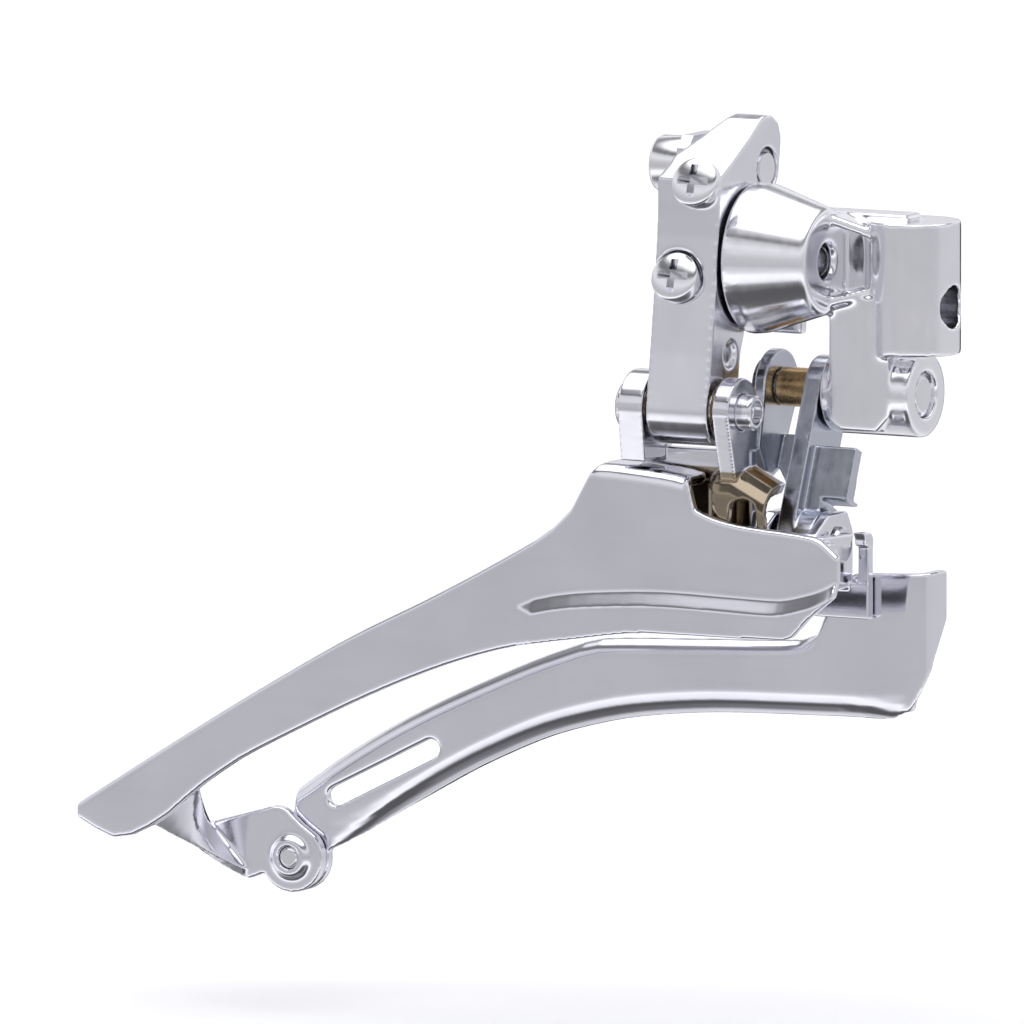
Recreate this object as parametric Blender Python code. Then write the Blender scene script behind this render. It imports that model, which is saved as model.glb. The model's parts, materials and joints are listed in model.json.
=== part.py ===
"""Front derailleur: bottom pull, direct mount, double cage. Lengths are in millimetres until hand_over.

+X is the bicycle's front, +Y is inboard and +Z is up. Pieces are drawn from the outer link's upper pivot,
which runs along X through y = 0, z = 0, and are then set down with the hanger bolt's hole at the origin.
"""
import math

import bpy
from mathutils import Matrix, Vector

for old in list(bpy.data.objects):
    bpy.data.objects.remove(old, do_unlink=True)

# Linkage: two equal, parallel links
LINK_OUT = 7.0          # how far each link leans outboard at rest
LINK_DROP = 16.5        # how far each link's lower pivot hangs below its upper one
INNER_Y = 6.0           # inner link's upper pivot, from the outer link's
INNER_Z = -15.0

# Clearances
RUN = 0.08              # radius clearance of a running pin
SEAT = 0.05             # radius clearance of a pressed or screwed piece
GAP = 0.3               # gap between faces that meet

# Bracket body
BARREL_LENGTH = 9.3
BARREL_BACK_R = 8.5
BARREL_FRONT_R = 5.75
CAVITY_R = 5.1
CAVITY_DEPTH = 6.2
COLUMN_X = 7.6          # axis of the half-round column that meets the frame's hanger
COLUMN_Y = 6.0
COLUMN_R = 5.3
COLUMN_TOP = 4.5
COLUMN_BOTTOM = -10.4
HANGER_Z = -5.0         # hanger bolt's hole
HANGER_R = 2.4
HANGER_DEPTH = 11.0
CREST_FLAT = 0.12       # how much the column's crest is planed off
BOSS_R = 4.8
BOSS_FRONT = 9.3
BOSS_BACK = -1.8

# Outer link
LINK_WIDTH = 7.7
HUB_R = 4.7
EYE_R = 4.0
BOLT_Y = 4.0            # cable fixing bolt in the arm
BOLT_Z = 9.5
BOLT_R = 2.4
SCREW_R = 1.5           # limit screws
SCREW_HEAD_R = 2.8
SCREW_HEAD_DEEP = 2.0
SCREW_TILT = 22.0       # degrees, heads up
SCREW_Y = -10.2
HIGH_SCREW_X = -11.8
HIGH_SCREW_Z = 9.5
HIGH_SCREW_LONG = 12.0
LOW_SCREW_X = -14.3
LOW_SCREW_Z = -1.2
LOW_SCREW_LONG = 16.2

# Pins and bushes
UPPER_PIN_R = 2.0
UPPER_PIN_HEAD_R = 2.3
LOWER_PIN_R = 2.0
INNER_PIN_R = 1.6
INNER_SPACER_R = 2.2
CAGE_PIN_R = 1.7
BUSH_WALL = 0.6

# Spring
WIRE_R = 0.62
COIL_R = 4.2
COIL_TURNS = 3.6

# Cage
SHEET = 1.2
OUTER_Y = -11.0         # outer plate's outer face
INNER_PLATE_Y = 3.0     # inner plate's outer face
EAR_R = 4.2
FRONT_EAR_R = 3.8
CAGE_EYE_R = 3.6
TAIL_X = -68.8          # tail screw
TAIL_Z = -71.4
TAIL_R = 4.0
TAIL_SCREW_R = 1.25

INNER_TOP = (INNER_Y, INNER_Z)
OUTER_LOW = (-LINK_OUT, -LINK_DROP)
INNER_LOW = (INNER_Y - LINK_OUT, INNER_Z - LINK_DROP)
LINK_FRONT = -BARREL_LENGTH - GAP
LINK_BACK = LINK_FRONT - LINK_WIDTH
HANGER = Vector((COLUMN_X + COLUMN_R - CREST_FLAT, COLUMN_Y, HANGER_Z))
MM = 0.001


def material(name, colour, metallic, roughness):
    """A plain shaded material."""
    made = bpy.data.materials.new(name)
    made.use_nodes = True
    shader = made.node_tree.nodes["Principled BSDF"]
    shader.inputs["Base Color"].default_value = (*colour, 1.0)
    shader.inputs["Metallic"].default_value = metallic
    shader.inputs["Roughness"].default_value = roughness
    return made


def solid(name, points, faces):
    """A mesh object from points."""
    mesh = bpy.data.meshes.new(name)
    mesh.from_pydata([tuple(p) for p in points], [], faces)
    mesh.validate()
    made = bpy.data.objects.new(name, mesh)
    bpy.context.scene.collection.objects.link(made)
    return made


def prism(axis, outline, start, end):
    """A closed outline drawn across an axis and pushed along it from start to end."""
    place = {
        "X": lambda a, b, s: (s, a, b),
        "Y": lambda a, b, s: (a, s, b),
        "Z": lambda a, b, s: (a, b, s),
    }[axis]
    count = len(outline)
    area = sum(outline[i][0] * outline[(i + 1) % count][1] - outline[(i + 1) % count][0] * outline[i][1]
               for i in range(count))
    if (area < 0) != (axis == "Y"):
        outline = outline[::-1]
    points = [place(a, b, start) for a, b in outline] + [place(a, b, end) for a, b in outline]
    faces = [tuple(reversed(range(count))), tuple(range(count, 2 * count))]
    for i in range(count):
        j = (i + 1) % count
        faces.append((i, j, count + j, count + i))
    return solid("prism", points, faces)


def box(low, high):
    """A block between two corners."""
    return prism("Z", [(low[0], low[1]), (high[0], low[1]), (high[0], high[1]), (low[0], high[1])], low[2], high[2])


def lathe(profile, place, steps=40, phase=0.0):
    """A profile of (along, radius) turned round a line: place maps the line from +X. Open ends lie on it."""
    closed = profile[0][1] > 0
    points = []
    rings = []
    flat_start = not closed and profile[0][0] == profile[1][0]
    flat_end = not closed and profile[-1][0] == profile[-2][0]
    for along, radius in profile[int(flat_start):len(profile) - int(flat_end)]:
        if radius == 0:
            rings.append([len(points)])
            points.append(place @ Vector((along, 0, 0)))
            continue
        ring = []
        for step in range(steps):
            turn = 2 * math.pi * (step + phase) / steps
            ring.append(len(points))
            points.append(place @ Vector((along, radius * math.cos(turn), radius * math.sin(turn))))
        rings.append(ring)
    faces = []
    pairs = list(zip(rings, rings[1:]))
    if closed:
        pairs.append((rings[-1], rings[0]))
    for near, far in pairs:
        for i in range(steps):
            j = (i + 1) % steps
            if len(near) == 1:
                faces.append((near[0], far[j], far[i]))
            elif len(far) == 1:
                faces.append((near[i], near[j], far[0]))
            else:
                faces.append((near[i], near[j], far[j], far[i]))
    if flat_start:
        faces.append(tuple(reversed(rings[0])))
    if flat_end:
        faces.append(tuple(rings[-1]))
    return solid("lathe", points, faces)


def along_x(pivot):
    """Places a lathe round a line along X through (y, z)."""
    return Matrix.Translation((0, pivot[0], pivot[1]))


def rod(pivot, radius, start, end, steps=40, phase=0.0):
    """A plain round bar along X."""
    profile = [(start, 0), (start, radius), (end, radius), (end, 0)]
    return lathe(profile, along_x(pivot), steps, phase)


def sheet(rows, thickness):
    """A sheet through rows of points, thickened to the side its rows' cross product points to."""
    count = len(rows)
    width = len(rows[0])
    grid = [[Vector(p) for p in row] for row in rows]
    points = [p for row in grid for p in row]
    for i in range(count):
        for j in range(width):
            across = grid[i][min(j + 1, width - 1)] - grid[i][max(j - 1, 0)]
            down = grid[min(i + 1, count - 1)][j] - grid[max(i - 1, 0)][j]
            points.append(grid[i][j] + down.cross(across).normalized() * thickness)
    back = count * width
    faces = []
    for i in range(count - 1):
        for j in range(width - 1):
            a = i * width + j
            quad = (a, a + 1, a + width + 1, a + width)
            faces.append(quad)
            faces.append(tuple(back + k for k in reversed(quad)))
    for i in range(count - 1):
        a = i * width
        faces.append((a, a + width, back + a + width, back + a))
        b = a + width - 1
        faces.append((b + width, b, back + b, back + b + width))
    for j in range(width - 1):
        faces.append((j + 1, j, back + j, back + j + 1))
        c = (count - 1) * width + j
        faces.append((c, c + 1, back + c + 1, back + c))
    return solid("sheet", points, faces)


def settle(target):
    """Bakes the target's modifiers into its mesh."""
    bpy.context.view_layer.update()
    graph = bpy.context.evaluated_depsgraph_get()
    baked = bpy.data.meshes.new_from_object(target.evaluated_get(graph))
    target.modifiers.clear()
    target.data = baked


def apply(target, tools, operation):
    """Joins or cuts the target with each tool in turn, and drops the tools."""
    for tool in tools:
        step = target.modifiers.new("step", "BOOLEAN")
        step.operation = operation
        step.solver = "EXACT"
        step.object = tool
        settle(target)
        bpy.data.objects.remove(tool, do_unlink=True)
    return target


def join(target, *tools):
    return apply(target, tools, "UNION")


def cut(target, *tools):
    return apply(target, tools, "DIFFERENCE")


def hand_over(target, name, finish, pivot=(0.0, 0.0, 0.0)):
    """Names the piece, gives it its material and puts its origin on its pivot, with the hanger hole at zero."""
    target.data.transform(Matrix.Scale(MM, 4) @ Matrix.Translation(-Vector(pivot)))
    target.location = (Vector(pivot) - HANGER) * MM
    target.name = name
    target.data.name = name
    target.data.materials.clear()
    target.data.materials.append(finish)
    for face in target.data.polygons:
        face.use_smooth = False
        face.material_index = 0
    return target


def circle(centre, radius, start, end, count):
    """Points on an arc, angles in degrees."""
    turns = [math.radians(start + (end - start) * i / (count - 1)) for i in range(count)]
    return [(centre[0] + radius * math.cos(t), centre[1] + radius * math.sin(t)) for t in turns]


def follow(stations, x):
    """The height at x on a smooth line through (x, height) stations, which never swings past them."""
    rises = [(z1 - z0) / (x1 - x0) for (x0, z0), (x1, z1) in zip(stations, stations[1:])]
    slopes = [rises[0]]
    for back, ahead in zip(rises, rises[1:]):
        slopes.append(2 * back * ahead / (back + ahead) if back * ahead > 0 else 0.0)
    slopes.append(rises[-1])
    for number, ((x0, z0), (x1, z1)) in enumerate(zip(stations, stations[1:])):
        if x0 <= x <= x1:
            run = x1 - x0
            t = (x - x0) / run
            start = (1 + 2 * t) * (1 - t) ** 2 * z0 + t * (1 - t) ** 2 * run * slopes[number]
            return start + t * t * (3 - 2 * t) * z1 + t * t * (t - 1) * run * slopes[number + 1]
    return stations[0][1] if x < stations[0][0] else stations[-1][1]


def loft(loops):
    """A closed skin through flat loops of points, each anticlockwise seen from the last one's side."""
    width = len(loops[0])
    points = [p for loop in loops for p in loop]
    faces = [tuple(reversed(range(width))), tuple(range(len(points) - width, len(points)))]
    for ring in range(len(loops) - 1):
        a = ring * width
        b = a + width
        for i in range(width):
            j = (i + 1) % width
            faces.append((a + i, a + j, b + j, b + i))
    return solid("loft", points, faces)


def spaced(start, end, pitch):
    """Evenly spaced values from start to end, no further apart than the pitch."""
    count = math.ceil((end - start) / pitch)
    return [start + (end - start) * i / count for i in range(count + 1)]


POLISHED = material("polished_aluminium", (0.80, 0.80, 0.82), 1.0, 0.20)
PLATED = material("plated_steel", (0.66, 0.66, 0.69), 1.0, 0.15)
BRONZE = material("bronze", (0.52, 0.36, 0.20), 1.0, 0.35)
SPRING_STEEL = material("spring_steel", (0.25, 0.25, 0.27), 1.0, 0.4)
HARD_STEEL = material("hard_steel", (0.55, 0.55, 0.57), 1.0, 0.25)
NYLON = material("nylon", (0.08, 0.08, 0.09), 0.0, 0.5)

# ---- bracket body -------------------------------------------------------------------------------------
TONGUE_NEAR = 5.3
TONGUE_FAR = 6.9
TONGUE_TOP = 2.5
TONGUE_BOTTOM = -9.0
TONGUE_BACK = LINK_FRONT - 6.2
ARM_FAR = 8.0
RIB_NEAR = 0.2
RIB_FAR = 2.7
PIN_STOP = -2.8           # the upper pin is pressed in as far as this shoulder
PEEP_R = 1.9              # the smaller hole in front of it
WEB_NEAR = 4.2
RIB = 1.1
RIB_TOP = 5.1

body = lathe([(-BARREL_LENGTH, 0), (-BARREL_LENGTH, BARREL_BACK_R - 0.3), (-BARREL_LENGTH + 0.4, BARREL_BACK_R),
              (-BARREL_LENGTH + 2.0, BARREL_BACK_R - 0.15), (-0.5, BARREL_FRONT_R + 0.35), (0, BARREL_FRONT_R),
              (0, 0)], along_x((0, 0)), 48)
arm_back = prism("Y", [(-4, 5.2), (COLUMN_X, 5.2), (COLUMN_X, COLUMN_BOTTOM + 2), (0, -5.2), (-4, -5.2)],
                 WEB_NEAR, ARM_FAR)
RIB_END = COLUMN_X - 1.2
ribs = []
for disc_z, end_z in ((RIB_TOP, 2.9), (-RIB_TOP, -3.3)):
    toward = math.copysign(RIB, disc_z)
    rib = prism("Y", [(-1, disc_z), (0.3, disc_z), (RIB_END, end_z), (RIB_END, end_z - toward),
                      (0.3, disc_z - toward), (-1, disc_z - toward)], -1, 6)
    wedge = prism("Z", [(-2, RIB_NEAR), (0.4, RIB_NEAR + 0.1), (COLUMN_X, RIB_FAR), (COLUMN_X, WEB_NEAR + 0.6),
                        (-2, WEB_NEAR + 0.6)], -7, 7)
    apply(rib, [wedge], "INTERSECT")
    ribs.append(rib)
column = prism("Z", circle((COLUMN_X, COLUMN_Y), COLUMN_R, 0, 360, 49)[:-1], COLUMN_BOTTOM, COLUMN_TOP)
boss = lathe([(BOSS_BACK, 0), (BOSS_BACK, BOSS_R), (BOSS_FRONT - 0.3, BOSS_R), (BOSS_FRONT, BOSS_R - 0.3),
              (BOSS_FRONT, 0)], along_x(INNER_TOP), 48)
SKIRT_BOTTOM = INNER_Z - 4.0
SKIRT_FRONT = 6.8
skirt = prism("Y", [(-0.6, -4.0), (SKIRT_FRONT, -4.0), (SKIRT_FRONT, SKIRT_BOTTOM + 1.6),
                    (SKIRT_FRONT - 1.4, SKIRT_BOTTOM), (0.8, SKIRT_BOTTOM), (-0.6, SKIRT_BOTTOM + 1.2)], 1.2, 4.2)
tongue = box((TONGUE_BACK, TONGUE_NEAR, TONGUE_BOTTOM), (-BARREL_LENGTH + 3.2, TONGUE_FAR, TONGUE_TOP))
join(body, arm_back, ribs[0], ribs[1], column, boss, skirt, tongue)
cavity = rod((0, 0), CAVITY_R, -BARREL_LENGTH - 0.2, CAVITY_DEPTH - BARREL_LENGTH, 40)
upper_bore = lathe([(-BARREL_LENGTH + 1, 0), (-BARREL_LENGTH + 1, UPPER_PIN_HEAD_R + SEAT),
                    (PIN_STOP, UPPER_PIN_HEAD_R + SEAT), (PIN_STOP, PEEP_R), (-0.5, PEEP_R), (0.3, PEEP_R + 0.8),
                    (0.3, 0)], along_x((0, 0)), 32)
hanger_hole = rod((COLUMN_Y, HANGER_Z), HANGER_R, COLUMN_X + COLUMN_R - HANGER_DEPTH, COLUMN_X + COLUMN_R + 1, 32)
crest = box((HANGER.x, 0, COLUMN_BOTTOM - 1), (HANGER.x + 2, 12, COLUMN_TOP + 1))
boss_bore = lathe([(BOSS_BACK - 1, 0), (BOSS_BACK - 1, INNER_SPACER_R + SEAT), (BOSS_FRONT - 1.1, INNER_SPACER_R + SEAT),
                   (BOSS_FRONT - 1.1, INNER_SPACER_R + 0.4), (BOSS_FRONT + 1, INNER_SPACER_R + 0.4),
                   (BOSS_FRONT + 1, 0)], along_x(INNER_TOP), 32)
leg_hole = rod((COIL_R, 0), WIRE_R + 0.15, -BARREL_LENGTH + CAVITY_DEPTH - 0.2, -BARREL_LENGTH + CAVITY_DEPTH + 1.6, 16)
cut(body, cavity, upper_bore, hanger_hole, crest, boss_bore, leg_hole)
hand_over(body, "bracket_body", POLISHED)

# ---- outer link and what it carries -------------------------------------------------------------------


def screw_place(x, z):
    """Maps a lathe's +X to a limit screw's line, from its head inboard."""
    aim = Matrix.Rotation(math.radians(90), 4, "Z")
    tilt = Matrix.Rotation(math.radians(-SCREW_TILT), 4, "X")
    return Matrix.Translation((x, SCREW_Y, z)) @ tilt @ aim


hub_side = [(y, z) for y, z in circle((0, 0), HUB_R, 74, -66, 15)]
arm_foot = circle((BOLT_Y, BOLT_Z), 2.9, 0, -110, 8)
eye = circle(OUTER_LOW, EYE_R, 0, -180, 13)
outline = [(-8.0, 9.4), (-5.0, 10.9), (-0.5, 13.4), (2.2, 15.2), (3.6, 15.6), (5.2, 15.4), (6.6, 14.5), (7.3, 12.8)]
outline += arm_foot + [(1.75, 6.3)] + hub_side + [(-0.7, -6.4), (-2.4, -10.5), (-2.95, -14.0)] + eye
outline += [(-9.9, -10.0), (-8.9, -3.0), (-8.2, 3.0), (-8.0, 6.0)]
outer_link = prism("X", outline, LINK_BACK, LINK_FRONT)
high_place = screw_place(HIGH_SCREW_X, HIGH_SCREW_Z)
low_place = screw_place(LOW_SCREW_X, LOW_SCREW_Z)
for place in (high_place, low_place):
    seat = [(SCREW_HEAD_DEEP - 0.6, 0), (SCREW_HEAD_DEEP - 0.6, 2.15), (5.0, 2.15), (5.0, 0)]
    join(outer_link, lathe(seat, place, 24))
arm_slope = prism("Y", [(LINK_BACK - 1, 11.6), (LINK_BACK + 0.2, 11.6), (LINK_BACK + 4.6, 16.6), (LINK_BACK - 1, 16.6)],
                  -12, 12)
cut(outer_link, arm_slope)
dimple = rod((-5.1, -10.4), 1.5, LINK_FRONT - 0.5, LINK_FRONT + 1, 24)
cut(outer_link, dimple)
link_pocket = prism("X", [(-6.7, -6.9), (-7.7, -11.7), (3.0, -11.7), (3.0, -6.9)], LINK_BACK + 1.4, LINK_FRONT - 1.4)
cut(outer_link, link_pocket)
bush_r = UPPER_PIN_R + RUN + BUSH_WALL
cut(outer_link, rod((0, 0), bush_r + SEAT, LINK_BACK - 1, LINK_FRONT + 1, 32))
low_bush_r = LOWER_PIN_R + RUN + BUSH_WALL
cut(outer_link, rod(OUTER_LOW, low_bush_r + SEAT, LINK_BACK - 1, LINK_FRONT + 1, 32))
cut(outer_link, rod((BOLT_Y, BOLT_Z), BOLT_R + SEAT, LINK_BACK - 1, LINK_FRONT + 1, 32))
cut(outer_link, rod((-COIL_R, 0), WIRE_R + 0.15, LINK_FRONT - 1.9, LINK_FRONT + 1, 16))
for place, long in ((high_place, HIGH_SCREW_LONG), (low_place, LOW_SCREW_LONG)):
    hole = [(-5, 0), (-5, SCREW_HEAD_R + GAP), (SCREW_HEAD_DEEP + 0.1, SCREW_HEAD_R + GAP),
            (SCREW_HEAD_DEEP + 0.1, SCREW_R + SEAT), (long + 3, SCREW_R + SEAT), (long + 3, 0)]
    cut(outer_link, lathe(hole, place, 24, 0.3))
hand_over(outer_link, "outer_link", POLISHED)


def cross(place, reach, half, deep):
    """A cutter for a cross recess in a screw's head, which faces back along the place's +X."""
    quarter = [(reach, -half), (reach, half), (half, half)]
    outline = []
    for turn in range(4):
        c = round(math.cos(turn * math.pi / 2))
        s = round(math.sin(turn * math.pi / 2))
        outline += [(c * a - s * b, s * a + c * b) for a, b in quarter]
    made = prism("X", outline, -1, deep)
    made.data.transform(place)
    return made


def limit_screw(name, place, long):
    """A screw with a domed head, a cross recess and a plain tip."""
    head = SCREW_HEAD_R
    profile = [(0, 0), (0, head - 0.7), (0.25, head - 0.2), (0.7, head), (SCREW_HEAD_DEEP, head),
               (SCREW_HEAD_DEEP, SCREW_R), (long - 0.4, SCREW_R), (long, SCREW_R - 0.4), (long, 0)]
    screw = lathe(profile, place, 24)
    cut(screw, cross(place, 1.7, 0.36, 1.2))
    return hand_over(screw, name, HARD_STEEL, place.translation)


limit_screw("limit_screw_high", high_place, HIGH_SCREW_LONG)
limit_screw("limit_screw_low", low_place, LOW_SCREW_LONG)

WASHER_THICK = 1.5
WASHER_BACK = LINK_BACK - GAP - WASHER_THICK
washer = prism("X", [(BOLT_Y - 3.6, BOLT_Z - 4.3), (BOLT_Y + 3.4, BOLT_Z - 4.3), (BOLT_Y + 3.9, BOLT_Z - 3.4),
                     (BOLT_Y + 3.9, BOLT_Z + 2.4), (BOLT_Y + 3.0, BOLT_Z + 3.6), (BOLT_Y - 2.6, BOLT_Z + 3.6),
                     (BOLT_Y - 3.9, BOLT_Z + 2.2)], WASHER_BACK, WASHER_BACK + WASHER_THICK)
cut(washer, rod((BOLT_Y, BOLT_Z), BOLT_R + 0.15, WASHER_BACK - 1, LINK_BACK + 1, 32))
cable_groove = box((LINK_BACK - GAP - 0.5, BOLT_Y - 6, BOLT_Z - 3.8), (LINK_BACK + 1, BOLT_Y + 6, BOLT_Z - 2.8))
cut(washer, cable_groove)
hand_over(washer, "cable_clamp_washer", PLATED)

HEAD_BACK = WASHER_BACK - 4.1
bolt = lathe([(HEAD_BACK, 0), (HEAD_BACK, 2.7), (HEAD_BACK + 0.5, 3.2), (WASHER_BACK - 0.15, 3.25),
              (WASHER_BACK - 0.15, BOLT_R), (LINK_FRONT - 0.5, BOLT_R), (LINK_FRONT - 0.1, BOLT_R - 0.4),
              (LINK_FRONT - 0.1, 0)], along_x((BOLT_Y, BOLT_Z)), 32)
cut(bolt, rod((BOLT_Y, BOLT_Z), 1.75, HEAD_BACK - 1, HEAD_BACK + 2.6, 6))
hand_over(bolt, "cable_fixing_bolt", HARD_STEEL, (HEAD_BACK, BOLT_Y, BOLT_Z))

# ---- pins, bushes, clips and the spring ----------------------------------------------------------------


def pin(name, pivot, steps_of, groove=None):
    """A turned pin from (x, radius) steps, from its back end to its front end."""
    profile = [(steps_of[0][0], 0)] + steps_of + [(steps_of[-1][0], 0)]
    made = lathe(profile, along_x(pivot), 32)
    if groove:
        x, radius = groove
        ring = [(x, radius - 0.45), (x, radius + 1), (x + 0.8, radius + 1), (x + 0.8, radius - 0.45)]
        cut(made, lathe(ring, along_x(pivot), 32))
    return hand_over(made, name, HARD_STEEL, (0, *pivot))


def bush(name, pivot, inner, outer, start, end, finish=BRONZE):
    """A plain sleeve round a pin."""
    ring = [(start, inner), (start, outer), (end, outer), (end, inner)]
    return hand_over(lathe(ring, along_x(pivot), 32), name, finish, (0, *pivot))


def clip(name, pivot, radius, x):
    """A spring clip in a pin's groove, open at the bottom."""
    ring = [(x + 0.1, radius - 0.38), (x + 0.1, radius + 1.5), (x + 0.7, radius + 1.5), (x + 0.7, radius - 0.38)]
    made = lathe(ring, along_x(pivot), 32)
    mouth = box((x - 1, pivot[0] - 1.1, pivot[1] - 5), (x + 2, pivot[0] + 1.1, pivot[1]))
    cut(made, mouth)
    return hand_over(made, name, SPRING_STEEL, (0, *pivot))


CLIP_A = LINK_BACK - GAP - 0.7
pin("outer_link_upper_pin", (0, 0), [(CLIP_A - 0.8, UPPER_PIN_R - 0.3), (CLIP_A - 0.5, UPPER_PIN_R),
                                     (-BARREL_LENGTH + 0.1, UPPER_PIN_R), (-BARREL_LENGTH + 0.1, UPPER_PIN_HEAD_R),
                                     (PIN_STOP - GAP - 0.3, UPPER_PIN_HEAD_R), (PIN_STOP - GAP, UPPER_PIN_HEAD_R - 0.3)],
    (CLIP_A, UPPER_PIN_R))
clip("outer_link_pin_clip", (0, 0), UPPER_PIN_R, CLIP_A)
bush("outer_link_upper_bush", (0, 0), UPPER_PIN_R + RUN, bush_r, LINK_BACK, LINK_FRONT)
bush("spring_washer", (0, 0), UPPER_PIN_HEAD_R + RUN, COIL_R - WIRE_R - 0.2, -BARREL_LENGTH + 0.1,
     -BARREL_LENGTH + CAVITY_DEPTH - 0.1, NYLON)

pin("outer_link_lower_pin", OUTER_LOW, [(LINK_BACK - 4.5, 2.5), (LINK_BACK - 4.1, 2.9), (LINK_BACK - 3.6, 2.9),
                                        (LINK_BACK - 3.6, LOWER_PIN_R), (-5.5, LOWER_PIN_R),
                                        (-5.2, LOWER_PIN_R - 0.3), (-5.2, 1.3), (-6.4, 1.3)])
bush("outer_link_lower_bush", OUTER_LOW, LOWER_PIN_R + RUN, low_bush_r, LINK_BACK, LINK_FRONT)

REAR_WALL = (-10.2, -8.8)
FRONT_WALL = (-4.2, -2.1)
CLIP_B = REAR_WALL[0] - GAP - 0.7
pin("inner_link_upper_pin", INNER_TOP, [(CLIP_B - 0.8, INNER_PIN_R - 0.3), (CLIP_B - 0.5, INNER_PIN_R),
                                        (BOSS_BACK - 0.05, INNER_PIN_R), (BOSS_BACK - 0.05, INNER_SPACER_R),
                                        (BOSS_FRONT - 0.7, INNER_SPACER_R), (BOSS_FRONT - 0.4, INNER_SPACER_R - 0.3)],
    (CLIP_B, INNER_PIN_R))
clip("inner_link_pin_clip", INNER_TOP, INNER_PIN_R, CLIP_B)
bush("inner_link_upper_bush", INNER_TOP, INNER_PIN_R + RUN, INNER_SPACER_R, REAR_WALL[1] + 0.2, FRONT_WALL[0] - 0.2)

EYE_FRONT = 0.2
PANEL_FRONT = 3.0
EAR_FRONT = (EYE_FRONT + 0.4, EYE_FRONT + 1.7)
cage_bush_r = CAGE_PIN_R + RUN + BUSH_WALL
pin("inner_link_lower_pin", INNER_LOW, [(-6.9, CAGE_PIN_R - 0.3), (-6.6, CAGE_PIN_R),
                                        (EAR_FRONT[1] + 0.2, CAGE_PIN_R), (EAR_FRONT[1] + 0.2, CAGE_PIN_R + 0.5),
                                        (EAR_FRONT[1] + 0.7, CAGE_PIN_R + 0.2)])
bush("inner_link_lower_bush", INNER_LOW, CAGE_PIN_R + RUN, cage_bush_r, FRONT_WALL[0], EYE_FRONT)

SPRING_BACK = -BARREL_LENGTH + WIRE_R + 0.1
SPRING_FRONT = -BARREL_LENGTH + CAVITY_DEPTH - WIRE_R - 0.1
path = [Vector((LINK_FRONT - 1.5, -COIL_R, 0))]
turns = 20
for step in range(int(COIL_TURNS * turns) + 1):
    part_way = step / (COIL_TURNS * turns)
    angle = math.pi - 2 * math.pi * step / turns
    x = SPRING_BACK + (SPRING_FRONT - SPRING_BACK) * part_way
    path.append(Vector((x, COIL_R * math.cos(angle), COIL_R * math.sin(angle))))
last = path[-1]
leg_angle = math.atan2(last.z, last.y)
for step in range(1, 9):
    angle = leg_angle * (1 - step / 8)
    path.append(Vector((SPRING_FRONT, COIL_R * math.cos(angle), COIL_R * math.sin(angle))))
path.append(Vector((-BARREL_LENGTH + CAVITY_DEPTH + 1.3, COIL_R, 0)))
points = []
faces = []
sides = 8
up = Vector((0, 0, 1))
for i, here in enumerate(path):
    ahead = (path[min(i + 1, len(path) - 1)] - path[max(i - 1, 0)]).normalized()
    radial = Vector((0, here.y, here.z)).normalized()
    side = (radial - ahead * radial.dot(ahead)).normalized()
    other = ahead.cross(side)
    for k in range(sides):
        turn = 2 * math.pi * k / sides
        points.append(here + side * WIRE_R * math.cos(turn) + other * WIRE_R * math.sin(turn))
    if i:
        for k in range(sides):
            n = (k + 1) % sides
            a = (i - 1) * sides
            b = i * sides
            faces.append((a + k, a + n, b + n, b + k))
faces.append(tuple(reversed(range(sides))))
faces.append(tuple(range(len(points) - sides, len(points))))
hand_over(solid("spring", points, faces), "return_spring", SPRING_STEEL)

# ---- inner link ----------------------------------------------------------------------------------------
INNER_EYE_R = 4.2
LOW_EYE_R = 3.8
lean = math.degrees(math.atan2(LINK_DROP, LINK_OUT))


def wall(top_r, low_r, low, start, end):
    """A flat link wall: two round ends and the straight sides between them."""
    shape = circle(INNER_TOP, top_r, 90 + lean, lean - 90, 17)
    shape += circle(low, low_r, lean - 90, lean - 270, 17)
    return prism("X", shape, start, end)


def on_link(part_way, aside):
    """A point part way down the inner link's line, and to the inboard side of it."""
    y = INNER_Y - LINK_OUT * part_way
    z = INNER_Z - LINK_DROP * part_way
    size = math.hypot(LINK_OUT, LINK_DROP)
    return (y + LINK_DROP / size * aside, z - LINK_OUT / size * aside)


inner_link = wall(LOW_EYE_R, LOW_EYE_R, INNER_LOW, *FRONT_WALL)
rear_wall = prism("X", circle(INNER_TOP, INNER_EYE_R, 160, -20, 17) +
                  [on_link(0.48, 3.4), on_link(0.56, 2.0), on_link(0.56, 0.2), on_link(0.45, -2.6)], *REAR_WALL)
web_back = prism("X", [on_link(0.27, 3.75), on_link(0.27, 2.35), on_link(0.72, 2.35), on_link(0.72, 3.75)],
                 FRONT_WALL[0] + 0.5, REAR_WALL[0] + 0.6)
web_cut = prism("Y", [(REAR_WALL[0] - 1, -27.0), (REAR_WALL[0] - 1, -40), (FRONT_WALL[0], -40),
                      (FRONT_WALL[0], -30), (REAR_WALL[1], -23.8)], -12, 12)
cut(web_back, web_cut)
PANEL_TOP = 0.40
panel = prism("X", [on_link(PANEL_TOP, -2.2), on_link(PANEL_TOP, 2.2), on_link(0.95, 2.2), on_link(0.95, -2.2)],
              FRONT_WALL[1] - 0.5, PANEL_FRONT)
panel_cut = prism("X", [on_link(PANEL_TOP - 0.1, -0.6), on_link(PANEL_TOP - 0.1, 5.0), on_link(0.74, 5.0),
                        on_link(0.74, -0.6)], FRONT_WALL[1], PANEL_FRONT + 1)
cut(panel, panel_cut)
panel_foot = prism("X", [on_link(0.74, -6), on_link(0.74, 6), on_link(1.2, 6), on_link(1.2, -6)],
                   EYE_FRONT - 0.4, PANEL_FRONT + 1)
cut(panel, panel_foot)
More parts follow.
